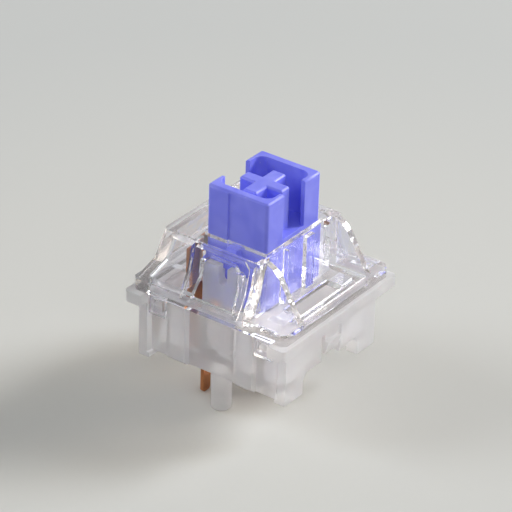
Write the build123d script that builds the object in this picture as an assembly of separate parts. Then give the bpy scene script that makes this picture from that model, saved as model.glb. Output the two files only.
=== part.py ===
from build123d import *
from math import atan, degrees, pi
import os

# Mechanical keyboard switch. Millimetres, +Z up. The origin is on the centre post's axis at the level
# of the circuit board's face. X runs along the stem's guide ears, +Y is the contact side and -Y is the
# open light side. The stem is modelled at rest, at the top of its travel.

# Main sizes
plate_z = 5.0           # top face of the mounting plate, under the flange
plate_thickness = 1.5
plate_cutout = 14.0
flange_width = 15.6
flange_thickness = 1.0
tower_height = 5.25     # flat roof of the clear housing over the flange
stem_reach = 4.25       # stem over the roof at rest
travel = 4.0
pin_depth = 3.3         # how far post, pegs and contact pins reach below the board's face
body_lift = 0.4         # the body stands this high over the board, on its feet
floor_thickness = 0.8
wall = 1.05             # outer walls of the bottom housing

# Clearances
cutout_clearance = 0.05
running_gap = 0.1       # stem to roof opening and rails to grooves
pole_gap = 0.15         # pole to guide tube
press_gap = 0.4         # left under the stem and the pole when the stem is pressed
rest_gap = 0.05         # rails under the roof that stops them
ear_gap = 0.12          # round the ear in its window
latch_gap = 0.08        # latch window to catch, and contact pin to its slot
seat_gap = 0.02         # spring ends to their seats
lobe_gap = 0.06         # leaf to the cams that hold it off
embed = 0.3             # how far an added form reaches into what carries it
past = 1.0              # how far a cut runs past a face

# Centre post, pegs and contact pins
post_radius = 2.0
peg_radius = 0.85
peg_offset = 5.08
fixed_pin_x = -3.81
fixed_pin_y = 2.54
moving_pin_x = 2.54
moving_pin_y = 5.08
pin_width = 1.0
tip_chamfer = 0.2

# Stem
stem_half_x = 3.6
stem_half_y = 2.9
stem_corner = 0.3
cap_wall_x = 0.75       # walls round the space that a keycap's boss enters
cap_wall_y = 0.4
cap_space_corner = 0.8
corner_gap = 2.85       # gap between the corner walls
back_gap_extra = 0.4    # the -X wall is this much shorter on the contact side
slot_floor_rise = 0.25  # foot of the cross over the roof
cross_span = 4.1
cross_arm_x = 1.3       # thickness of the arm that runs along X
cross_arm_y = 1.17      # thickness of the arm that runs along Y
cross_drop = 0.35       # the cross ends this far under the corner walls
cross_corner = 0.2      # larger than edge_break
edge_break = 0.15
pad_rise = 0.12         # low pad on the -X face, from pad_start towards the contact side
pad_start = 0.8
cavity_drop = 0.85      # top of the spring's hollow under the roof's level
cavity_radius = 2.35
pole_radius = 1.0
pole_reach = 3.3        # pole below the stem's lower edge
pole_chamfer = 0.35
rail_half_width = 0.5
rail_reach = 0.72
cam_x = 1.9
cam_width = 0.7
cam_reach = 1.5
cam_drop = 1.85         # root of the cams under the roof
cam_foot = 0.5

# Guide ears of the bottom housing, seen through the windows of the top
ear_half_width = 1.95
ear_bite = 0.05         # the ear stands this deep in the side wall
ear_drop = 1.6          # top of the ear under the roof
ear_thickness = 0.65
ear_notch_depth = 1.55
ear_notch_width = 0.85
ear_chamfer = 0.25
guide_drop = 1.0        # the grooved guide inside the ear ends this far under it

# Guide tube and spring
tube_radius = 1.7
tube_drop = 0.4         # tube under the stem's lower edge
spring_radius = 2.0
wire_radius = 0.14
spring_turns = 11
end_turns = 1           # closed turns at each end
coil_gap = 0.02         # between the wires of a closed turn
turn_steps = 20         # sections per turn of the coil
wire_sides = 8

# Sides of the bottom housing
panel_depth = 0.65      # side panels and latch pockets lie this deep
column_start = 2.4
column_width = 1.8
column_chamfer = 0.45
corner_post = 0.8
flange_corner = 0.25
front_corner_cut = 0.75
foot_width = 2.4
arch_height = 1.8
arch_rise = 0.6
arch_shoulder = 0.4
light_wall_gap = 0.55   # stem to the wall in front of the light bay
light_wall = 0.9
light_slot_width = 5.6
clip_half_width = 0.9
clip_gap = 0.45
clip_top = 0.3          # slits end this far under the flange
clip_reach = 0.35
clip_length = 1.2
clip_edge = 0.15

# Top housing
skirt_inset_x = 0.6     # skirt inside the flange
skirt_inset_front = 0.4
skirt_inset_back = 0.3
skirt_thickness = 1.0
skirt_chamfer = 0.4
base_step = 0.15        # foot of the tower inside the skirt
shoulder_rise = 1.6     # shoulder over the skirt
shoulder_half_x = 6.15
shoulder_back_y = 6.35
roof_half_x = 5.45
roof_back_y = 5.8
tower_corner = 0.5
shell = 0.85
shaft_wall = 0.45
front_post = 0.5        # side walls end this far in front of the shaft
cheek_inner_x = 4.4     # curved side walls of the light bay
cheek_thickness = 0.6
cheek_knee_y = 5.3
cheek_knee_drop = 1.15
cheek_foot_inset = 0.3
ledge_rise = 0.5        # floor of the light bay over the flange
lip = 0.45              # raised rim in front of the ledge
ledge_step_y = 5.75
ledge_step = 0.25
frame_half_width = 2.75
frame_depth = 0.25
frame_drop = 0.15
frame_chamfer = 0.55
sill_height = 0.7       # the skirt runs on this high in front of the ear
window_rise = 0.6       # top of the window over the ear
window_taper = 0.4      # the window's sides lean in by this much
window_chamfer = 0.45
left_rib_x = -1.95      # a narrow and a broad rib in front of the shaft
left_rib_width = 0.3
right_rib_x = 1.15
right_rib_width = 1.05
shaft_rib_reach = 0.4
web_thickness = 0.35    # upright webs beside the ears, inside the shell
web_gap = 0.175         # webs to the fixed contact

# Snap latches, one at each end of both ear sides
pocket_gap = 0.15       # latch to its pocket's sides
latch_offset = 0.12     # latch to the pocket's floor
latch_length = 1.85
catch_half_width = 0.45
catch_drop = 1.28       # lower face of the catch under the flange's top
catch_height = 0.75
catch_inset = 0.15
catch_edge = 0.2

# Contacts
strip = 0.3
leaf = 0.2
fixed_gap = 0.45        # stem to the fixed contact
bridge_inset = 0.1      # left end of the contact to the walls beside it
fixed_column_width = 1.65
bridge_drop = 0.5       # bridge under the ceiling
bridge_height = 0.8
tip_half_width = 0.85
contact_rise = 0.9      # contact point over the flange
fixed_tip_height = 0.6
leaf_half_x = 2.6
leaf_window = 0.75
leaf_rise = 1.6         # leaf over the contact point
leaf_bend = 0.5
leaf_lean = 0.15
leaf_rim = 0.6
leaf_root_drop = 1.8    # straight part of the leaf ends this far under the flange's top
leaf_slot_rise = 2.0    # leaf's slots start this far over the floor
tip_bar = 0.9
tip_size = 0.3

# Worked-out levels
flange_z = plate_z + flange_thickness
roof_z = flange_z + tower_height
stem_top_z = roof_z + stem_reach
floor_z = body_lift + floor_thickness
skirt_top_z = flange_z + skirt_thickness
shoulder_z = skirt_top_z + shoulder_rise
ceiling_z = roof_z - shell
stem_low_z = floor_z + travel + press_gap
slot_floor_z = roof_z + slot_floor_rise
cross_top_z = stem_top_z - cross_drop
cavity_ceiling_z = roof_z - cavity_drop
pole_tip_z = stem_low_z - pole_reach
rail_top_z = ceiling_z - rest_gap
ear_top_z = roof_z - ear_drop
guide_top_z = ear_top_z - guide_drop
sill_z = flange_z + sill_height
ledge_z = flange_z + ledge_rise
latch_foot_z = flange_z - latch_length
catch_low_z = flange_z - catch_drop
contact_z = flange_z + contact_rise
bridge_top_z = ceiling_z - bridge_drop

# Worked-out places in plan
body_half = plate_cutout / 2 - cutout_clearance
flange_half = flange_width / 2
panel_x = body_half - panel_depth
well_half_x = panel_x - wall
well_half_y = body_half - wall
column_end = column_start + column_width
corner_start = body_half - corner_post
foot_outer_x = body_half - front_corner_cut
foot_inner_x = foot_outer_x - foot_width
light_wall_y = -(stem_half_y + light_wall_gap)
bay_back_y = light_wall_y - light_wall
rail_x = stem_half_x + rail_reach
cam_y = stem_half_y + cam_reach
fixed_plane_y = stem_half_y + fixed_gap + strip / 2
web_y = fixed_plane_y - (strip + web_thickness) / 2 - web_gap
pad_end = stem_half_y - stem_corner
opening_half_x = stem_half_x + running_gap
opening_half_y = stem_half_y + running_gap
guide_x = opening_half_x + pad_rise
groove_x = rail_x + running_gap
shaft_front_y = -(opening_half_y + shaft_wall)
tower_front_y = shaft_front_y - front_post
ear_outer_x = well_half_x + ear_bite
skirt_x = flange_half - skirt_inset_x
skirt_front_y = -(flange_half - skirt_inset_front)
skirt_back_y = flange_half - skirt_inset_back
cheek_outer_x = cheek_inner_x + cheek_thickness
latch_inner_x = panel_x + latch_offset
latch_outer_x = body_half
latch_inner_y = column_end + pocket_gap
latch_outer_y = corner_start - pocket_gap
latch_y = (latch_inner_y + latch_outer_y) / 2


def box(x0, x1, y0, y1, z0, z1):
    """Block between two corners."""
    block = Box(x1 - x0, y1 - y0, z1 - z0)
    return Pos((x0 + x1) / 2, (y0 + y1) / 2, (z0 + z1) / 2) * block


def both_sides(shape, plane=Plane.YZ):
    """The shape with its mirror image in the plane."""
    return shape + shape.mirror(plane)


def four_corners(shape):
    """The shape with its mirror images in both upright planes."""
    return both_sides(both_sides(shape, Plane.XZ))


def rod(radius, z0, z1, x=0.0, y=0.0):
    """Upright round bar."""
    return Pos(x, y, (z0 + z1) / 2) * Cylinder(radius, z1 - z0)


def plate_yz(points, x0, x1):
    """Polygon in the YZ plane, carried from x0 to x1."""
    face = make_face(Polyline(*[(x0, y, z) for y, z in points], close=True))
    return extrude(face, amount=x1 - x0, dir=(1, 0, 0))


def plate_xz(points, y0, y1):
    """Polygon in the XZ plane, carried from y0 to y1."""
    face = make_face(Polyline(*[(x, y0, z) for x, z in points], close=True))
    return extrude(face, amount=y1 - y0, dir=(0, 1, 0))


def tapered_peg(radius, x, y):
    """Round peg from the body down to the pins' level, with a chamfered tip."""
    foot = Pos(x, y, -pin_depth + tip_chamfer / 2) * Cone(radius - tip_chamfer, radius, tip_chamfer)
    return foot + rod(radius, -pin_depth + tip_chamfer, floor_z, x, y)


def bottom_walls():
    """Floor and walls with recessed side panels, columns, corner posts and flange."""
    low, high = body_lift, flange_z
    core = box(-panel_x, panel_x, -body_half, body_half, low, high)
    column = box(0, body_half, column_start, column_end, low, high)
    outer_edges = column.edges().filter_by(Axis.Y).group_by(Axis.X)[-1]
    column = chamfer(outer_edges.sort_by(Axis.Z)[:1], column_chamfer)
    back_post = box(0, body_half, corner_start, body_half, low, high)
    front_post_low = box(0, foot_outer_x, -body_half, -corner_start, low, plate_z)
    front_post_high = box(0, body_half, -body_half, -corner_start, plate_z, high)
    flange = box(-flange_half, flange_half, -flange_half, flange_half, plate_z, high)
    flange = chamfer(flange.edges().filter_by(Axis.Z), flange_corner)
    side_notch = box(panel_x, flange_half + past, -corner_start, corner_start, low, high + past)
    flange -= both_sides(side_notch)
    side = column + column.mirror(Plane.XZ) + back_post + front_post_low + front_post_high
    front_cut = box(foot_outer_x, body_half + past, -body_half - past, -corner_start, low - past, plate_z)
    return core - both_sides(front_cut) + both_sides(side) + flange


def catches():
    """Wedges that the latch windows snap over: flat below, slanted above."""
    root = panel_x - embed
    face = latch_outer_x - catch_inset
    top = catch_low_z + catch_height
    profile = [(root, catch_low_z), (face, catch_low_z), (face, catch_low_z + catch_edge),
               (panel_x, top), (root, top)]
    return four_corners(plate_xz(profile, latch_y - catch_half_width, latch_y + catch_half_width))


def guide_ears():
    """Upright ears with a round-bottomed notch, and a lower guide inside each, grooved for the rail."""
    inner_x = max(ear_outer_x - ear_thickness, groove_x)
    ear = box(inner_x, ear_outer_x, -ear_half_width, ear_half_width, body_lift, ear_top_z)
    ear = chamfer(ear.edges().filter_by(Axis.X).group_by(Axis.Z)[-1], ear_chamfer)
    half_notch = ear_notch_width / 2
    bend_z = ear_top_z - ear_notch_depth + half_notch
    notch = box(0, ear_outer_x + past, -half_notch, half_notch, bend_z, ear_top_z + past)
    bend = Pos(ear_outer_x, 0, bend_z) * Rot(0, 90, 0) * Cylinder(half_notch, 2 * ear_outer_x)
    guide = box(guide_x, inner_x + embed, -ear_half_width, ear_half_width, body_lift, guide_top_z)
    slot = rail_half_width + running_gap
    groove = box(0, groove_x, -slot, slot, floor_z, ear_top_z + past)
    return both_sides(ear + guide - groove - notch - bend)


def clip_slits():
    """Slits that free a tongue in the middle of both Y walls."""
    slit = box(clip_half_width, clip_half_width + clip_gap, well_half_y - embed, body_half + past,
               body_lift, plate_z - clip_top)
    return four_corners(slit)


def clip_wedges():
    """Wedges on the tongues, which snap under the mounting plate."""
    root = body_half - embed
    face = body_half + clip_reach
    top = plate_z - plate_thickness
    profile = [(root, top - clip_length), (body_half, top - clip_length), (face, top - clip_edge),
               (face, top), (root, top)]
    return both_sides(plate_yz(profile, -clip_half_width, clip_half_width), Plane.XZ)


def bottom_housing():
    solid = bottom_walls()
    well = box(-well_half_x, well_half_x, light_wall_y, well_half_y, floor_z, flange_z + past)
    bay = box(-well_half_x, well_half_x, -well_half_y, bay_back_y, floor_z, flange_z + past)
    slot_half = light_slot_width / 2
    light_slot = box(-slot_half, slot_half, -well_half_y, bay_back_y, body_lift - past, floor_z + past)
    solid = solid - well - bay - light_slot

    # Arch between the feet on the light side, with chamfered shoulders
    half = foot_inner_x
    arch = [(-half, body_lift - past), (half, body_lift - past), (half, arch_height - arch_rise),
            (half - arch_shoulder, arch_height), (-half + arch_shoulder, arch_height),
            (-half, arch_height - arch_rise)]
    solid -= plate_xz(arch, -body_half - past, -well_half_y)
    front_foot = box(foot_inner_x, foot_outer_x, -body_half, -well_half_y, 0, body_lift)
    back_foot = box(foot_inner_x, body_half, well_half_y, body_half, 0, body_lift)
    solid += both_sides(front_foot + back_foot)

    # The light side's tongue ends where its wedge starts
    tongue_end = plate_z - plate_thickness - clip_length
    solid -= box(-clip_half_width, clip_half_width, -body_half - past, -well_half_y, body_lift, tongue_end)
    solid = solid - clip_slits() + clip_wedges() + catches() + guide_ears()

    # Guide tube on the floor, centre post and side pegs under it
    tube_top = stem_low_z - tube_drop
    solid += rod(tube_radius, body_lift, tube_top)
    solid += tapered_peg(post_radius, 0, 0)
    solid += both_sides(tapered_peg(peg_radius, peg_offset, 0))
    bore_bottom = pole_tip_z - travel - press_gap
    solid -= rod(pole_radius + pole_gap, bore_bottom, tube_top + past)

    # Slots that the contact pins pass through
    half_long = pin_width / 2 + latch_gap
    half_wide = strip / 2 + latch_gap
    for x, y in ((fixed_pin_x, fixed_pin_y), (moving_pin_x, moving_pin_y)):
        solid -= box(x - half_long, x + half_long, y - half_wide, y + half_wide,
                     body_lift - past, floor_z + past)
    return solid


def tower_size(z):
    """Half width and back face of the tower at a level: straight from roof to shoulder to skirt."""
    if z > shoulder_z:
        share = (roof_z - z) / (roof_z - shoulder_z)
        return (roof_half_x + share * (shoulder_half_x - roof_half_x),
                roof_back_y + share * (shoulder_back_y - roof_back_y))
    share = min(1.0, (shoulder_z - z) / shoulder_rise)
    return (shoulder_half_x + share * (skirt_x - base_step - shoulder_half_x),
            shoulder_back_y + share * (skirt_back_y - base_step - shoulder_back_y))


def tower(inset, top_z, front_y):
    """Flared tower drawn in by inset, lofted through its outlines down to the flange."""
    outlines = []
    for z in (flange_z, skirt_top_z, shoulder_z, top_z):
        half_x, back_y = tower_size(z)
        width = 2 * (half_x - inset)
        depth = back_y - inset - front_y
        outline = RectangleRounded(width, depth, tower_corner)
        outlines.append(Pos(0, front_y + depth / 2, z) * outline)
    solid = loft(outlines[:2])
    for lower, upper in zip(outlines[1:], outlines[2:]):
        solid += loft([lower, upper])
    return solid


def light_bay_cheeks():
    """Side walls of the light bay: straight up from the skirt's front edge, then curved to the roof."""
    foot = (0, skirt_front_y + cheek_foot_inset, skirt_top_z)
    knee = (0, -cheek_knee_y, roof_z - cheek_knee_drop)
    flank = Line(foot, knee)
    crown = TangentArc(knee, (0, tower_front_y, roof_z), tangent=flank % 1)
    back_y = tower_front_y + embed
    rest = Polyline(crown @ 1, (0, back_y, roof_z), (0, back_y, flange_z), (0, foot[1], flange_z), foot)
    block = extrude(make_face([flank, crown, rest]), amount=cheek_thickness, dir=(1, 0, 0))
    return both_sides(Pos(cheek_inner_x, 0, 0) * block)


def inner_webs():
    """Upright webs between roof and skirt, one beside each end of both ears."""
    half = web_thickness / 2
    inner_x = opening_half_x + embed
    reach = embed - shell
    profile = [(inner_x, skirt_top_z), (tower_size(skirt_top_z)[0] + reach, skirt_top_z),
               (shoulder_half_x + reach, shoulder_z), (tower_size(ceiling_z)[0] + reach, ceiling_z + embed),
               (inner_x, ceiling_z + embed)]
    return four_corners(plate_xz(profile, web_y - half, web_y + half))


def window_outline(low_half, high_half, top, cut):
    """Opening over the sill, with its sides leaning in and its upper corners cut."""
    return [(-low_half, sill_z), (low_half, sill_z), (high_half, top - cut), (high_half - cut, top),
            (-high_half + cut, top), (-high_half, top - cut)]


def window_frames():
    """On both ear sides: a shallow frame, the window inside it, and the pocket that the ear stands in."""
    half = frame_half_width
    outline = window_outline(half, half, roof_z - frame_drop, frame_chamfer)
    frame = plate_yz(outline, opening_half_x, skirt_x) - tower(frame_depth, roof_z, tower_front_y)
    hole = ear_half_width + ear_gap
    inner_x = opening_half_x + embed
    outline = window_outline(hole, hole - window_taper, ear_top_z + window_rise, window_chamfer)
    window = plate_yz(outline, inner_x, skirt_x + past)
    pocket = box(inner_x, ear_outer_x + ear_gap, -hole, hole, flange_z - past, ear_top_z + ear_gap)
    return both_sides(frame + window + pocket)


def latch_legs():
    """Four legs with a window that snaps over the catch, rooted in the skirt."""
    leg = box(latch_inner_x, latch_outer_x, latch_inner_y, latch_outer_y, latch_foot_z, flange_z + embed)
    leg += box(latch_inner_x, skirt_x - embed, latch_inner_y, latch_outer_y, flange_z, flange_z + embed)
    half = catch_half_width + latch_gap
    leg -= box(latch_inner_x - past, latch_outer_x + past, latch_y - half, latch_y + half,
               catch_low_z - latch_gap, catch_low_z + catch_height + latch_gap)
    return four_corners(leg)


def top_housing():
    skirt = box(-skirt_x, skirt_x, skirt_front_y, skirt_back_y, flange_z, skirt_top_z)
    skirt = chamfer(skirt.edges().filter_by(Axis.Z), skirt_chamfer)
    solid = skirt + tower(0, roof_z, tower_front_y)
    solid -= tower(shell, ceiling_z, -opening_half_y)

    # Light bay: recessed ledge with a step and its slot, behind a raised front lip
    bay_half = cheek_inner_x
    solid -= box(-bay_half, bay_half, skirt_front_y + lip, shaft_front_y, ledge_z, roof_z + past)
    solid -= box(-bay_half, bay_half, skirt_front_y + 2 * lip, -ledge_step_y, ledge_z - ledge_step, roof_z)
    slot_half = light_slot_width / 2
    solid -= box(-slot_half, slot_half, -ledge_step_y, bay_back_y, flange_z - past, roof_z)
    solid += light_bay_cheeks() + inner_webs()
    for x, width in ((left_rib_x, left_rib_width), (right_rib_x, right_rib_width)):
        solid += box(x - width / 2, x + width / 2, shaft_front_y - shaft_rib_reach, shaft_front_y + embed,
                     flange_z, roof_z - edge_break)

    # Opening for the stem, wider where its pad passes
    solid -= box(-opening_half_x, opening_half_x, -opening_half_y, opening_half_y, flange_z, roof_z + past)
    solid -= box(-guide_x, 0, pad_start - running_gap, pad_end + running_gap, flange_z, roof_z + past)
    return solid - window_frames() + latch_legs()


def stem():
    solid = box(-stem_half_x, stem_half_x, -stem_half_y, stem_half_y, stem_low_z, stem_top_z)
    solid = fillet(solid.edges().filter_by(Axis.Z), stem_corner)
    solid = chamfer(solid.faces().sort_by(Axis.Z)[-1].edges(), edge_break)
    pad = box(-stem_half_x - pad_rise, -stem_half_x + embed, pad_start, pad_end, stem_low_z,
              stem_top_z - edge_break)
    solid += chamfer(pad.edges().filter_by(Axis.Y).group_by(Axis.X)[0].sort_by(Axis.Z)[-1:], pad_rise / 2)
    space_x = 2 * (stem_half_x - cap_wall_x)
    space_y = 2 * (stem_half_y - cap_wall_y)
    space = Pos(0, 0, slot_floor_z) * RectangleRounded(space_x, space_y, cap_space_corner)
    solid -= extrude(space, amount=stem_top_z + past - slot_floor_z)
    half_gap = corner_gap / 2
    long = stem_half_y + past
    solid -= box(-half_gap, half_gap, -long, long, slot_floor_z, stem_top_z + past)
    solid -= box(-half_gap - back_gap_extra, 0, 0, long, slot_floor_z, stem_top_z + past)

    # Cross that carries the keycap
    half = cross_span / 2
    foot = slot_floor_z - embed
    arm_x = box(-half, half, -cross_arm_x / 2, cross_arm_x / 2, foot, cross_top_z)
    arm_y = box(-cross_arm_y / 2, cross_arm_y / 2, -half, half, foot, cross_top_z)
    cross = fillet(arm_x.edges().filter_by(Axis.Z), cross_corner)
    cross += fillet(arm_y.edges().filter_by(Axis.Z), cross_corner)
    solid += chamfer(cross.faces().sort_by(Axis.Z)[-1].edges(), edge_break)

    # Hollow for the spring, with the pole in its middle
    solid -= rod(cavity_radius, stem_low_z - past, cavity_ceiling_z)
    tip = Cone(pole_radius - pole_chamfer, pole_radius, pole_chamfer)
    solid += Pos(0, 0, pole_tip_z + pole_chamfer / 2) * tip
    solid += rod(pole_radius, pole_tip_z + pole_chamfer, cavity_ceiling_z + embed)

    # Guide rails on the ear sides and cam legs on the contact side
    rail = box(stem_half_x - embed, rail_x, -rail_half_width, rail_half_width, stem_low_z, rail_top_z)
    rail = chamfer(rail.edges().filter_by(Axis.Y).group_by(Axis.X)[-1], tip_chamfer)
    solid += both_sides(rail)
    root_y = stem_half_y - embed
    root_z = roof_z - cam_drop
    cam = [(root_y, stem_low_z), (cam_y - cam_foot, stem_low_z), (cam_y, stem_low_z + cam_foot),
           (cam_y, contact_z + cam_foot), (stem_half_y, root_z), (root_y, root_z)]
    solid += both_sides(plate_yz(cam, cam_x - cam_width / 2, cam_x + cam_width / 2))
    return solid


def spring():
    """Coil with closed end turns, lofted through sections that stand square to the helix."""
    low = floor_z + wire_radius + seat_gap
    rise = cavity_ceiling_z - wire_radius - seat_gap - low
    closed = 2 * wire_radius + coil_gap
    last_open = spring_turns - end_turns
    pitch = (rise - 2 * end_turns * closed) / (last_open - end_turns)
    tilt = degrees(atan(pitch / (2 * pi * spring_radius)))
    section = Pos(spring_radius, 0, 0) * Rot(tilt - 90, 0, 0) * RegularPolygon(wire_radius, wire_sides)
    sections = []
    for step in range(spring_turns * turn_steps + 1):
        turn = step / turn_steps
        open_turns = min(max(turn - end_turns, 0), last_open - end_turns)
        height = low + pitch * open_turns + closed * (turn - open_turns)
        sections.append(Pos(0, 0, height) * Rot(0, 0, 360 * turn) * section)
    return loft(sections, ruled=True)


def folded_strip(points, thickness, x0, x1):
    """Sheet folded along a line of points in the YZ plane, carried from x0 to x1."""
    line = Polyline(*[(y, z) for y, z in points])
    band = offset(line, amount=thickness / 2, kind=Kind.INTERSECTION, side=Side.BOTH)
    face = Plane(origin=(x0, 0, 0), x_dir=(0, 1, 0), z_dir=(1, 0, 0)) * make_face(band)
    return extrude(face, amount=x1 - x0)


def beside_pin(x, y, left, right):
    """What is cut away between left and right beside a pin under the floor's face, and at its tip."""
    half = pin_width / 2
    low = -pin_depth
    sides = box(left, x - half, y - strip, y + strip, low - past, floor_z)
    sides += box(x + half, right, y - strip, y + strip, low - past, floor_z)
    reach = half + past
    rise = past + tip_chamfer
    tip = [(x - reach, low - past), (x - reach, low + rise), (x - half + tip_chamfer, low),
           (x + half - tip_chamfer, low), (x + reach, low + rise), (x + reach, low - past)]
    return sides + plate_xz(tip, y - strip, y + strip)


def fixed_contact():
    clear_wall_x = tower_size(bridge_top_z)[0] - shell
    left = bridge_inset - min(clear_wall_x, well_half_x)
    right = left + fixed_column_width
    foot_z = floor_z + strip / 2
    line = [(fixed_pin_y, -pin_depth), (fixed_pin_y, foot_z), (fixed_plane_y, foot_z),
            (fixed_plane_y, bridge_top_z)]
    sheet = folded_strip(line, strip, left, tip_half_width)
    front, back = fixed_pin_y - past, fixed_plane_y + past
    sheet -= box(right, tip_half_width + past, front, back, -pin_depth - past, contact_z - fixed_tip_height)
    sheet -= box(right, -tip_half_width, front, back, -pin_depth - past, bridge_top_z - bridge_height)
    return sheet - beside_pin(fixed_pin_x, fixed_pin_y, left - past, right + past)


def fixed_contact_tip():
    front = fixed_plane_y + strip / 2
    profile = [(front, contact_z - tip_size / 2), (front + tip_size / 2, contact_z),
               (front, contact_z + tip_size / 2)]
    return plate_yz(profile, -tip_bar / 2, tip_bar / 2)


def moving_contact():
    lobe_y = cam_y + lobe_gap + leaf / 2
    line = [(moving_pin_y, -pin_depth), (moving_pin_y, flange_z - leaf_root_drop),
            (lobe_y + leaf_lean, contact_z - leaf_bend), (lobe_y, contact_z),
            (lobe_y + leaf_lean, contact_z + leaf_rise)]
    sheet = folded_strip(line, leaf, -leaf_half_x, leaf_half_x)
    front, back = lobe_y - past, moving_pin_y + past
    inner = cam_x - cam_width / 2
    slot_low = floor_z + leaf_slot_rise
    sheet -= box(-inner, inner, front, back, slot_low, contact_z - leaf_rim)
    slit = box(leaf_window, inner, front, back, slot_low, contact_z + leaf_rise - leaf_rim)
    sheet -= both_sides(slit)
    half = pin_width / 2
    sheet += box(moving_pin_x - half, moving_pin_x + half, moving_pin_y - strip / 2,
                 moving_pin_y + strip / 2, -pin_depth, floor_z + strip)
    return sheet - beside_pin(moving_pin_x, moving_pin_y, -leaf_half_x - past, moving_pin_x + past)


def moving_contact_tip():
    back = cam_y + lobe_gap
    half = tip_size / 2
    profile = [(-half, back), (0, back - half), (half, back)]
    face = make_face(Polyline(*[(x, y, contact_z - tip_bar / 2) for x, y in profile], close=True))
    return extrude(face, amount=tip_bar, dir=(0, 0, 1))


nodes = {
    "bottom_housing": bottom_housing,
    "top_housing": top_housing,
    "stem": stem,
    "spring": spring,
    "fixed_contact": fixed_contact,
    "fixed_contact_tip": fixed_contact_tip,
    "moving_contact": moving_contact,
    "moving_contact_tip": moving_contact_tip,
}

os.makedirs("parts", exist_ok=True)
for name, make in nodes.items():
    shape = make()
    shape.label = name
    export_step(shape, f"parts/{name}.step")
    print(name, round(shape.volume, 2), "mm3,", len(shape.solids()), "solid")
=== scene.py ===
import bpy
import math
import numpy as np
from mathutils import Matrix, Vector


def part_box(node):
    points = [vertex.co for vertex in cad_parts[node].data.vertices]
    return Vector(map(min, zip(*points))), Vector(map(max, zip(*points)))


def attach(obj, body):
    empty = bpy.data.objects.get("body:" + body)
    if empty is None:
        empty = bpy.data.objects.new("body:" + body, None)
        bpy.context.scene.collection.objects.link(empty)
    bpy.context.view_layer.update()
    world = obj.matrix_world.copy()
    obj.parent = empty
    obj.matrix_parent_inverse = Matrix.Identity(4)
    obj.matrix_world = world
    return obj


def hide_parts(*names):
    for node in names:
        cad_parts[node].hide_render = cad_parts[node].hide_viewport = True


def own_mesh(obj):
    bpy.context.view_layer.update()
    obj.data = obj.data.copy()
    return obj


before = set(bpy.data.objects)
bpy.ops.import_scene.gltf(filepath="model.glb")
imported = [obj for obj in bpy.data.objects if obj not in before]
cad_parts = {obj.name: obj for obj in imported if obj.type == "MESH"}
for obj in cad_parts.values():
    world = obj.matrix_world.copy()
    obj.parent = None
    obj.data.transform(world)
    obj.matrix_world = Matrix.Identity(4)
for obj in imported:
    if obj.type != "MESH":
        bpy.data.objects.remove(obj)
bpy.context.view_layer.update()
scene = bpy.context.scene
millimetre = 0.001      # the scene is in metres, and every noise scale below is per metre
print("frame loaded with", len(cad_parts), "nodes")

# Camera at the photo's viewing angle: degrees, millimetres, and pixels of the 512 pixel frame
cameraView = {
    "azimuth": -54.99,
    "elevation": 29.98,
    "roll": 1.83,
    "target": (0.0, 0.0, 8.0),
    "distance": 250.0,
    "focalPixels": 3142.67,
    "targetPixel": (262.15, 259.92),
    "imagePixels": 512,
    "sensorWidth": 36.0,
    "nearest": 10.0,
    "farthest": 20000.0,
}


def direction(azimuth, elevation):
    # Unit vector towards a place: azimuth runs from -Y towards +X, elevation up from the floor, in degrees.
    turn, rise = math.radians(azimuth), math.radians(elevation)
    return Vector((math.sin(turn) * math.cos(rise), -math.cos(turn) * math.cos(rise), math.sin(rise)))


def placeCamera(view):
    # The camera stands on a ray from the target and is rolled about it.
    turn, roll = math.radians(view["azimuth"]), math.radians(view["roll"])
    back = direction(view["azimuth"], view["elevation"])
    right = Vector((math.cos(turn), math.sin(turn), 0.0))
    up = back.cross(right)
    rolledRight = right * math.cos(roll) + up * math.sin(roll)
    rolledUp = back.cross(rolledRight)
    data = bpy.data.cameras.new("photoCamera")
    camera = bpy.data.objects.new("photoCamera", data)
    scene.collection.objects.link(camera)
    camera.matrix_world = Matrix((rolledRight, rolledUp, back)).transposed().to_4x4()
    camera.location = (Vector(view["target"]) + back * view["distance"]) * millimetre
    middle = view["imagePixels"] / 2
    data.sensor_width = view["sensorWidth"]
    data.lens = view["focalPixels"] / view["imagePixels"] * view["sensorWidth"]
    data.shift_x = (middle - view["targetPixel"][0]) / view["imagePixels"]
    data.shift_y = (view["targetPixel"][1] - middle) / view["imagePixels"]
    data.clip_start, data.clip_end = view["nearest"] * millimetre, view["farthest"] * millimetre
    scene.camera = camera


placeCamera(cameraView)
print("camera placed")


# Helpers for node trees
def addNode(tree, kind, place, **settings):
    node = tree.nodes.new(kind)
    node.location = place
    for name, value in settings.items():
        setattr(node, name, value)
    return node


def setInputs(node, **values):
    # Socket names are given with their spaces left out.
    for socket in node.inputs:
        name = socket.name.replace(" ", "")
        if name in values and socket.enabled:
            socket.default_value = values[name]
    return node


def newGroup(name, inputs, outputs):
    # Every group starts with a Vector input; the others are numbers or vectors with a first value.
    group = bpy.data.node_groups.new(name, "ShaderNodeTree")
    group.interface.new_socket(name="Vector", in_out="INPUT", socket_type="NodeSocketVector")
    for title, value in inputs.items():
        kind = "NodeSocketVector" if isinstance(value, tuple) else "NodeSocketFloat"
        socket = group.interface.new_socket(name=title, in_out="INPUT", socket_type=kind)
        socket.default_value = value
    for title in outputs:
        group.interface.new_socket(name=title, in_out="OUTPUT", socket_type="NodeSocketFloat")
    return group, addNode(group, "NodeGroupInput", (-900, 0)), addNode(group, "NodeGroupOutput", (700, 0))


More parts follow.
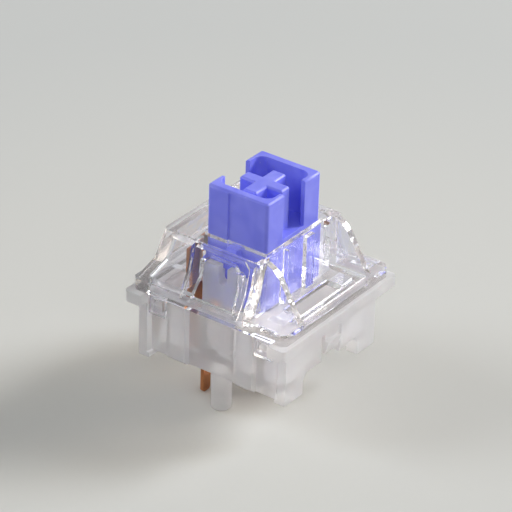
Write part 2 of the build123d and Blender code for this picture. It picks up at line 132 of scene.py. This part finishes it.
# Skin of a moulding: fine grain over slow waves of the flow, and where the waves are high
mouldedSkinLook = {
    "firstValues": {"Grain Scale": 9000.0, "Wave Scale": 500.0, "Grain Share": 0.3},
    "grain": {"Detail": 3.0, "Roughness": 0.6},
    "wave": {"Detail": 1.0, "Distortion": 0.6},
    "shadeFrom": 0.3,
    "shadeTo": 0.7,
}


def makeMouldedSkin(look):
    group, start, end = newGroup("mouldedSkin", look["firstValues"], ("Height", "Shade"))
    grain = setInputs(addNode(group, "ShaderNodeTexNoise", (-500, 200)), **look["grain"])
    wave = setInputs(addNode(group, "ShaderNodeTexNoise", (-500, -100)), **look["wave"])
    blend = addNode(group, "ShaderNodeMix", (0, 100))
    spread = addNode(group, "ShaderNodeMapRange", (0, -200))
    setInputs(spread, FromMin=look["shadeFrom"], FromMax=look["shadeTo"])
    link = group.links.new
    link(start.outputs["Vector"], grain.inputs["Vector"])
    link(start.outputs["Vector"], wave.inputs["Vector"])
    link(start.outputs["Grain Scale"], grain.inputs["Scale"])
    link(start.outputs["Wave Scale"], wave.inputs["Scale"])
    link(start.outputs["Grain Share"], blend.inputs["Factor"])
    link(wave.outputs["Fac"], blend.inputs["A"])
    link(grain.outputs["Fac"], blend.inputs["B"])
    link(wave.outputs["Fac"], spread.inputs["Value"])
    link(blend.outputs["Result"], end.inputs["Height"])
    link(spread.outputs["Result"], end.inputs["Shade"])
    return group


# Dust: the nearest cell centre closer than a speck's size, kept only where a slow noise is high
fineDustLook = {
    "firstValues": {"Speck Scale": 2500.0, "Speck Size": 0.12, "Cover": 0.5},
    "patches": {"Scale": 700.0, "Detail": 2.0},
}


def makeFineDust(look):
    group, start, end = newGroup("fineDust", look["firstValues"], ("Mask",))
    cells = addNode(group, "ShaderNodeTexVoronoi", (-500, 200))
    patches = setInputs(addNode(group, "ShaderNodeTexNoise", (-500, -150)), **look["patches"])
    speck = addNode(group, "ShaderNodeMath", (-100, 200), operation="LESS_THAN")
    patch = addNode(group, "ShaderNodeMath", (-100, -150), operation="GREATER_THAN")
    both = addNode(group, "ShaderNodeMath", (250, 50), operation="MULTIPLY")
    link = group.links.new
    link(start.outputs["Vector"], cells.inputs["Vector"])
    link(start.outputs["Vector"], patches.inputs["Vector"])
    link(start.outputs["Speck Scale"], cells.inputs["Scale"])
    link(cells.outputs["Distance"], speck.inputs[0])
    link(start.outputs["Speck Size"], speck.inputs[1])
    link(patches.outputs["Fac"], patch.inputs[0])
    link(start.outputs["Cover"], patch.inputs[1])
    link(speck.outputs[0], both.inputs[0])
    link(patch.outputs[0], both.inputs[1])
    link(both.outputs[0], end.inputs["Mask"])
    return group


# Rolled or drawn metal: noise stretched along Z, with slow stains
rolledMetalLook = {
    "firstValues": {"Line Scale": 14000.0, "Stretch": (1.0, 1.0, 0.04)},
    "lines": {"Detail": 3.0, "Roughness": 0.7},
    "stain": {"Scale": 900.0, "Detail": 4.0},
}


def makeRolledMetal(look):
    group, start, end = newGroup("rolledMetal", look["firstValues"], ("Height", "Shade"))
    stretch = addNode(group, "ShaderNodeVectorMath", (-600, 100), operation="MULTIPLY")
    lines = setInputs(addNode(group, "ShaderNodeTexNoise", (-350, 200)), **look["lines"])
    stain = setInputs(addNode(group, "ShaderNodeTexNoise", (-350, -150)), **look["stain"])
    link = group.links.new
    link(start.outputs["Vector"], stretch.inputs[0])
    link(start.outputs["Stretch"], stretch.inputs[1])
    link(stretch.outputs["Vector"], lines.inputs["Vector"])
    link(start.outputs["Line Scale"], lines.inputs["Scale"])
    link(start.outputs["Vector"], stain.inputs["Vector"])
    link(lines.outputs["Fac"], end.inputs["Height"])
    link(stain.outputs["Fac"], end.inputs["Shade"])
    return group


mouldedSkin = makeMouldedSkin(mouldedSkinLook)
fineDust = makeFineDust(fineDustLook)
rolledMetal = makeRolledMetal(rolledMetalLook)


# Helpers for materials
def newMaterial(name):
    material = bpy.data.materials.new(name)
    material.use_nodes = True
    tree = material.node_tree
    tree.nodes.clear()
    output = addNode(tree, "ShaderNodeOutputMaterial", (900, 0))
    surface = addNode(tree, "ShaderNodeBsdfPrincipled", (400, 0))
    place = addNode(tree, "ShaderNodeTexCoord", (-900, 0))
    tree.links.new(surface.outputs["BSDF"], output.inputs["Surface"])
    return material, tree, surface, output, place


def useGroup(tree, group, place, coordinates, values):
    node = setInputs(addNode(tree, "ShaderNodeGroup", place, node_tree=group), **values)
    tree.links.new(coordinates.outputs["Object"], node.inputs["Vector"])
    return node


def mixColours(tree, place, factor, low, high):
    # Each colour is a tuple or another node's socket.
    mix = addNode(tree, "ShaderNodeMix", place, data_type="RGBA")
    tree.links.new(factor, mix.inputs[0])
    for socket, value in ((mix.inputs[6], low), (mix.inputs[7], high)):
        if isinstance(value, tuple):
            socket.default_value = (*value, 1.0)
        else:
            tree.links.new(value, socket)
    return mix.outputs[2]


def mapValue(tree, place, value, low, high):
    node = setInputs(addNode(tree, "ShaderNodeMapRange", place), ToMin=low, ToMax=high)
    tree.links.new(value, node.inputs["Value"])
    return node.outputs["Result"]


def addBump(tree, place, height, depth, strength, surface):
    bump = setInputs(addNode(tree, "ShaderNodeBump", place), Distance=depth, Strength=strength)
    tree.links.new(height, bump.inputs["Height"])
    tree.links.new(bump.outputs["Normal"], surface.inputs["Normal"])


def clearWhere(tree, mask, surface, output, tint):
    # A tinted clear sheet takes the surface's place where the mask is 1.
    sheet = setInputs(addNode(tree, "ShaderNodeBsdfTransparent", (400, 200)), Color=(*tint, 1.0))
    choose = addNode(tree, "ShaderNodeMixShader", (700, 0))
    tree.links.new(mask, choose.inputs["Fac"])
    tree.links.new(surface.outputs["BSDF"], choose.inputs[1])
    tree.links.new(sheet.outputs["BSDF"], choose.inputs[2])
    tree.links.new(choose.outputs["Shader"], output.inputs["Surface"])


def passLampLight(tree, surface, output, tint):
    # Lamps shine through the plastic: shadow rays meet the clear sheet in place of glass.
    path = addNode(tree, "ShaderNodeLightPath", (400, 500))
    clearWhere(tree, path.outputs["Is Shadow Ray"], surface, output, tint)


clearPlastic = {
    "tint": (0.955, 0.96, 0.99),
    "deepTint": (0.93, 0.935, 0.985),
    "refraction": 1.57,
    "roughness": (0.006, 0.03),
    "speckRoughness": 0.5,
    "shadowTint": (0.76, 0.745, 0.72),
    "waveDepth": 0.004 * millimetre,
    "waveShare": 0.03,
    "dustColour": (0.9, 0.9, 0.92),
    "skin": {"WaveScale": 420.0, "GrainShare": 0.05},
    "dust": {"SpeckScale": 2600.0, "SpeckSize": 0.07, "Cover": 0.6},
}


def makeClearPlastic(look):
    material, tree, surface, output, place = newMaterial("clearPlastic")
    skin = useGroup(tree, mouldedSkin, (-600, 200), place, look["skin"])
    dust = useGroup(tree, fineDust, (-600, -200), place, look["dust"])
    tinted = mixColours(tree, (-200, 200), skin.outputs["Shade"], look["tint"], look["deepTint"])
    colour = mixColours(tree, (0, 200), dust.outputs["Mask"], tinted, look["dustColour"])
    rough = mapValue(tree, (-200, 0), skin.outputs["Shade"], *look["roughness"])
    speckRough = mapValue(tree, (-200, -250), dust.outputs["Mask"], 0.0, look["speckRoughness"])
    dusty = addNode(tree, "ShaderNodeMath", (0, -50), operation="ADD")
    tree.links.new(rough, dusty.inputs[0])
    tree.links.new(speckRough, dusty.inputs[1])
    tree.links.new(colour, surface.inputs["Base Color"])
    tree.links.new(dusty.outputs[0], surface.inputs["Roughness"])
    addBump(tree, (0, -400), skin.outputs["Height"], look["waveDepth"], look["waveShare"], surface)
    setInputs(surface, Metallic=0.0, IOR=look["refraction"], TransmissionWeight=1.0)
    passLampLight(tree, surface, output, look["shadowTint"])
    return material


milkyPlastic = {
    "tint": (0.92, 0.92, 0.95),
    "deepTint": (0.87, 0.87, 0.905),
    "refraction": 1.18,
    "roughness": (0.3, 0.42),
    "through": 0.68,                        # share of light that passes, the rest scatters inside
    "scatter": 0.9,
    "scatterReach": 0.9 * millimetre,
    "scatterColours": (1.0, 0.95, 0.95),
    "shadowTint": (0.57, 0.525, 0.455),
    "grainDepth": 0.006 * millimetre,
    "grainStrength": 0.3,
    "skin": {"WaveScale": 300.0, "GrainScale": 12000.0},
}


def makeMilkyPlastic(look):
    material, tree, surface, output, place = newMaterial("milkyPlastic")
    skin = useGroup(tree, mouldedSkin, (-600, 200), place, look["skin"])
    colour = mixColours(tree, (-200, 200), skin.outputs["Shade"], look["tint"], look["deepTint"])
    rough = mapValue(tree, (-200, 0), skin.outputs["Shade"], *look["roughness"])
    tree.links.new(colour, surface.inputs["Base Color"])
    tree.links.new(rough, surface.inputs["Roughness"])
    addBump(tree, (0, -300), skin.outputs["Height"], look["grainDepth"], look["grainStrength"], surface)
    setInputs(surface, Metallic=0.0, IOR=look["refraction"], TransmissionWeight=look["through"])
    setInputs(surface, SubsurfaceWeight=look["scatter"], SubsurfaceScale=look["scatterReach"])
    setInputs(surface, SubsurfaceRadius=look["scatterColours"])
    passLampLight(tree, surface, output, look["shadowTint"])
    return material


stemPlastic = {
    "colour": (0.285, 0.305, 1.0),
    "deepColour": (0.215, 0.235, 0.91),
    "refraction": 1.5,
    "roughness": (0.3, 0.42),
    "grainDepth": 0.012 * millimetre,
    "grainStrength": 0.35,
    "glow": 0.25,
    "glowReach": 0.6 * millimetre,
    "glowColours": (0.5, 0.5, 1.0),
    "sheen": 0.25,
    "dustColour": (0.6, 0.6, 0.85),
    "skin": {"WaveScale": 450.0, "GrainScale": 11000.0},
    "dust": {"SpeckScale": 2400.0, "SpeckSize": 0.06, "Cover": 0.58},
}


def makeStemPlastic(look):
    material, tree, surface, output, place = newMaterial("stemPlastic")
    skin = useGroup(tree, mouldedSkin, (-600, 200), place, look["skin"])
    dust = useGroup(tree, fineDust, (-600, -200), place, look["dust"])
    flow = mixColours(tree, (-200, 200), skin.outputs["Shade"], look["colour"], look["deepColour"])
    colour = mixColours(tree, (0, 200), dust.outputs["Mask"], flow, look["dustColour"])
    rough = mapValue(tree, (-200, 0), skin.outputs["Shade"], *look["roughness"])
    tree.links.new(colour, surface.inputs["Base Color"])
    tree.links.new(rough, surface.inputs["Roughness"])
    addBump(tree, (0, -300), skin.outputs["Height"], look["grainDepth"], look["grainStrength"], surface)
    setInputs(surface, Metallic=0.0, IOR=look["refraction"], SpecularIORLevel=look["sheen"])
    setInputs(surface, SubsurfaceWeight=look["glow"], SubsurfaceScale=look["glowReach"])
    setInputs(surface, SubsurfaceRadius=look["glowColours"])
    return material


copperStrip = {
    "name": "copperStrip",
    "colour": (0.66, 0.29, 0.13),
    "stain": (0.46, 0.18, 0.08),
    "roughness": (0.25, 0.42),
    "lineScale": 9000.0,
    "lineDepth": 0.006 * millimetre,
    "lineStrength": 0.5,
}
goldTip = {
    "name": "goldTip",
    "colour": (0.9, 0.68, 0.3),
    "stain": (0.85, 0.6, 0.25),
    "roughness": (0.18, 0.3),
    "lineScale": 15000.0,
    "lineDepth": 0.003 * millimetre,
    "lineStrength": 0.5,
}
springSteel = {
    "name": "springSteel",
    "colour": (0.66, 0.66, 0.68),
    "stain": (0.55, 0.54, 0.54),
    "roughness": (0.2, 0.36),
    "lineScale": 12000.0,
    "lineDepth": 0.004 * millimetre,
    "lineStrength": 0.5,
}


def makeMetal(look):
    material, tree, surface, output, place = newMaterial(look["name"])
    metal = useGroup(tree, rolledMetal, (-600, 200), place, {"LineScale": look["lineScale"]})
    colour = mixColours(tree, (-200, 200), metal.outputs["Shade"], look["colour"], look["stain"])
    rough = mapValue(tree, (-200, 0), metal.outputs["Height"], *look["roughness"])
    tree.links.new(colour, surface.inputs["Base Color"])
    tree.links.new(rough, surface.inputs["Roughness"])
    addBump(tree, (0, -300), metal.outputs["Height"], look["lineDepth"], look["lineStrength"], surface)
    setInputs(surface, Metallic=1.0)
    return material


clear = makeClearPlastic(clearPlastic)
milky = makeMilkyPlastic(milkyPlastic)
lavender = makeStemPlastic(stemPlastic)
copper = makeMetal(copperStrip)
gold = makeMetal(goldTip)
steel = makeMetal(springSteel)
finishes = {
    "bottom_housing": milky,
    "top_housing": clear,
    "stem": lavender,
    "fixed_contact": copper,
    "moving_contact": copper,
    "fixed_contact_tip": gold,
    "moving_contact_tip": gold,
}
for name, material in finishes.items():
    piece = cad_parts[name]
    piece.data.materials.clear()
    piece.data.materials.append(material)
print("materials made:", len(bpy.data.materials))

# Coil of round wire, in place of the faceted one: millimetres
coil = {
    "wireRadius": 0.14,
    "turns": 11,
    "endTurns": 1,          # closed turns at each end
    "coilGap": 0.02,        # between the wires of a closed turn
    "stepsPerTurn": 48,
    "sides": 14,
    "travel": 4.0,          # how far the stem presses the coil
}


def makeCoil(size):
    # Centre line: x, y = R cos t, R sin t, and z rises by the closed pitch in the end turns and by an even
    # open pitch between them. The section is a circle on the line's outward radial and its binormal, so its
    # points are c + r (cos v radial + sin v binormal).
    low, high = (np.array(corner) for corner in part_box("spring"))
    wire = size["wireRadius"] * millimetre
    length = high[2] - low[2]
    radius = (high[0] - low[0]) / 2 - wire
    ends, turns = size["endTurns"], size["turns"]
    closed = 2 * wire + size["coilGap"] * millimetre
    pitch = (length - 2 * wire - 2 * ends * closed) / (turns - 2 * ends)
    turn = np.linspace(0.0, turns, turns * size["stepsPerTurn"] + 1)[:, None]
    around = np.linspace(0.0, 2 * np.pi, size["sides"], endpoint=False)[None, :]
    openTurns = np.clip(turn - ends, 0.0, turns - 2 * ends)
    height = pitch * openTurns + closed * (turn - openTurns)
    tilt = math.atan(pitch / (2 * np.pi * radius))
    angle = 2 * np.pi * turn
    reach = radius + wire * np.cos(around)
    side = wire * np.sin(around) * math.sin(tilt)
    x = reach * np.cos(angle) + side * np.sin(angle)
    y = reach * np.sin(angle) - side * np.cos(angle)
    z = low[2] + wire + height + wire * np.sin(around) * math.cos(tilt)
    points = np.stack([x, y, z], axis=-1).reshape(-1, 3)
    rows, sides = len(turn), size["sides"]
    first = np.arange(rows - 1)[:, None] * sides
    here = np.arange(sides)[None, :]
    after = (here + 1) % sides
    quads = np.stack([first + here, first + after, first + sides + after, first + sides + here], axis=-1)
    faces = quads.reshape(-1, 4).tolist()
    faces.append(list(range(sides))[::-1])
    faces.append(list(range((rows - 1) * sides, rows * sides)))
    mesh = bpy.data.meshes.new("coil")
    mesh.from_pydata(points.tolist(), [], faces)
    mesh.shade_smooth()
    mesh.materials.append(steel)
    piece = bpy.data.objects.new("coil", mesh)
    scene.collection.objects.link(piece)
    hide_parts("spring")
    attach(piece, "housing")
    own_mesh(piece)


makeCoil(coil)
print("coil wound")

# Rounded edges of the mouldings and stampings: millimetres and degrees
rounding = {
    "radii": {
        "bottom_housing": 0.06,
        "stem": 0.06,
        "fixed_contact": 0.03,
        "moving_contact": 0.02,
    },
    "weldGap": 0.001,
    "flatAngle": 0.5,       # faces that turn less than this become one
    "sharpAngle": 32.0,     # edges that turn more than this are rounded
    "segments": 2,
    "normalWeight": 100,
}


def roundEdges(piece, radius, size):
    # The loose triangles are welded, flat ones joined, sharp edges bevelled and normals led by large faces.
    weld = piece.modifiers.new("weld", "WELD")
    weld.merge_threshold = size["weldGap"] * millimetre
    flat = piece.modifiers.new("flat", "DECIMATE")
    flat.decimate_type = "DISSOLVE"
    flat.angle_limit = math.radians(size["flatAngle"])
    bevel = piece.modifiers.new("bevel", "BEVEL")
    bevel.width = radius * millimetre
    bevel.segments = size["segments"]
    bevel.limit_method = "ANGLE"
    bevel.angle_limit = math.radians(size["sharpAngle"])
    bevel.use_clamp_overlap = True
    normal = piece.modifiers.new("normal", "WEIGHTED_NORMAL")
    normal.keep_sharp = False
    normal.weight = size["normalWeight"]


for name, radius in rounding["radii"].items():
    roundEdges(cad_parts[name], radius, rounding)
print("edges rounded")

# Pale floor: a painted pool of light, lighter near the switch and painted darker far off, with a slow drift
# of its tone
paleFloor = {
    "colour": (0.65, 0.652, 0.625),
    # painted shade: the colour the floor fades to far from the switch
    "farColour": (0.585, 0.598, 0.59),
    "fadeStart": 20.0 * millimetre,
    "fadeEnd": 75.0 * millimetre,
    "drift": {"Scale": 14.0, "Detail": 1.0},
    "driftShare": 0.15,
    "roughness": 0.85,
    "sheen": 0.15,
    "size": 3.0,                            # metres
    "depth": 3.305 * millimetre,            # just under the ends of the post, pegs and pins
}


def makeFloor(look):
    half = look["size"] / 2
    corners = [(x * half, y * half, -look["depth"]) for x, y in ((-1, -1), (1, -1), (1, 1), (-1, 1))]
    mesh = bpy.data.meshes.new("floor")
    mesh.from_pydata(corners, [], [(0, 1, 2, 3)])
    material, tree, surface, output, place = newMaterial("paleFloor")
    drift = setInputs(addNode(tree, "ShaderNodeTexNoise", (-600, -200)), **look["drift"])
    # Painted pool of light: the floor darkens with distance from the switch, with the drift noise added to
    # the fade.
    away = addNode(tree, "ShaderNodeVectorMath", (-600, 200), operation="LENGTH")
    fade = addNode(tree, "ShaderNodeMapRange", (-400, 200), interpolation_type="SMOOTHSTEP")
    setInputs(fade, FromMin=look["fadeStart"], FromMax=look["fadeEnd"])
    both = addNode(tree, "ShaderNodeMath", (-300, 0), operation="MULTIPLY_ADD", use_clamp=True)
    both.inputs[1].default_value = look["driftShare"]
    tree.links.new(place.outputs["Object"], drift.inputs["Vector"])
    tree.links.new(place.outputs["Object"], away.inputs[0])
    tree.links.new(away.outputs["Value"], fade.inputs["Value"])
    tree.links.new(drift.outputs["Fac"], both.inputs[0])
    tree.links.new(fade.outputs["Result"], both.inputs[2])
    colour = mixColours(tree, (-200, 0), both.outputs[0], look["colour"], look["farColour"])
    tree.links.new(colour, surface.inputs["Base Color"])
    setInputs(surface, Roughness=look["roughness"], SpecularIORLevel=look["sheen"])
    # Seen from below the floor is clear, so that the underside of the switch can be looked at.
    faced = addNode(tree, "ShaderNodeNewGeometry", (400, 500))
    clearWhere(tree, faced.outputs["Backfacing"], surface, output, (1.0, 1.0, 1.0))
    mesh.materials.append(material)
    floor = bpy.data.objects.new("floor", mesh)
    scene.collection.objects.link(floor)


# Lamps: degrees, metres, and the share of its own colour at which a white surface facing the lamp renders
lamps = {
    "rightLamp": {"azimuth": 58.0, "elevation": 30.0, "distance": 0.8, "size": 0.3, "share": 0.96,
                  "colour": (1.0, 0.985, 0.965)},
    "leftLamp": {"azimuth": -150.0, "elevation": 30.0, "distance": 0.8, "size": 0.4, "share": 0.36,
                 "colour": (0.96, 0.98, 1.0)},
    "frontLamp": {"azimuth": -44.0, "elevation": 44.0, "distance": 0.9, "size": 0.7, "share": 0.2,
                  "colour": (1.0, 0.99, 0.97)},
}


def makeLamp(name, azimuth, elevation, distance, size, share, colour):
    # A lamp of P watts at distance d lights a facing surface with P / (pi d^2); pi times the share is wanted.
    way = direction(azimuth, elevation)
    data = bpy.data.lights.new(name, "AREA")
    data.shape = "DISK"
    data.size = size
    data.energy = share * math.pi ** 2 * distance ** 2
    data.color = colour
    lamp = bpy.data.objects.new(name, data)
    lamp.location = way * distance
    lamp.rotation_mode = "QUATERNION"
    lamp.rotation_quaternion = way.to_track_quat("Z", "Y")
    scene.collection.objects.link(lamp)


room = {
    "low": (0.42, 0.42, 0.42),      # what gloss and glass see, from the horizon to overhead
    "high": (0.85, 0.85, 0.84),
    "heightFrom": -0.1,
    "heightTo": 0.9,
    "evenShare": 0.27,              # strength of the even light on surfaces
    "shown": (0.62, 0.63, 0.6),     # what the camera sees past the floor
    "bounces": 48,                  # with fewer, the clear plastic gets black streaks
    "clearBounces": 24,
}


def makeRoom(look):
    # Lit surfaces see an even sky; camera, gloss and glass see the pale room behind it.
    world = bpy.data.worlds.new("room")
    world.use_nodes = True
    tree = world.node_tree
    tree.nodes.clear()
    output = addNode(tree, "ShaderNodeOutputWorld", (800, 0))
    place = addNode(tree, "ShaderNodeTexCoord", (-900, 0))
    split = addNode(tree, "ShaderNodeSeparateXYZ", (-700, 0))
    height = addNode(tree, "ShaderNodeMapRange", (-500, 0))
    setInputs(height, FromMin=look["heightFrom"], FromMax=look["heightTo"])
    tree.links.new(place.outputs["Generated"], split.inputs[0])
    tree.links.new(split.outputs["Z"], height.inputs["Value"])
    sky = mixColours(tree, (-300, 0), height.outputs["Result"], look["low"], look["high"])
    path = addNode(tree, "ShaderNodeLightPath", (-500, 500))
    even = setInputs(addNode(tree, "ShaderNodeBackground", (200, 200)), Strength=look["evenShare"])
    mirrored = addNode(tree, "ShaderNodeBackground", (200, 0))
    tree.links.new(sky, mirrored.inputs["Color"])
    shown = setInputs(addNode(tree, "ShaderNodeBackground", (200, -200)), Color=(*look["shown"], 1.0))
    seen = addNode(tree, "ShaderNodeMath", (-200, 400), operation="MAXIMUM")
    tree.links.new(path.outputs["Is Glossy Ray"], seen.inputs[0])
    tree.links.new(path.outputs["Is Transmission Ray"], seen.inputs[1])
    first = addNode(tree, "ShaderNodeMixShader", (400, 100))
    second = addNode(tree, "ShaderNodeMixShader", (600, 0))
    tree.links.new(seen.outputs[0], first.inputs[0])
    tree.links.new(even.outputs[0], first.inputs[1])
    tree.links.new(mirrored.outputs[0], first.inputs[2])
    tree.links.new(path.outputs["Is Camera Ray"], second.inputs[0])
    tree.links.new(first.outputs[0], second.inputs[1])
    tree.links.new(shown.outputs[0], second.inputs[2])
    tree.links.new(second.outputs[0], output.inputs["Surface"])
    scene.world = world
    scene.view_settings.view_transform = "Standard"
    scene.cycles.max_bounces = look["bounces"]
    scene.cycles.transmission_bounces = look["bounces"]
    scene.cycles.glossy_bounces = look["bounces"]
    scene.cycles.transparent_max_bounces = look["clearBounces"]


makeFloor(paleFloor)
makeRoom(room)
for name, lamp in lamps.items():
    makeLamp(name, **lamp)
print("studio lit")
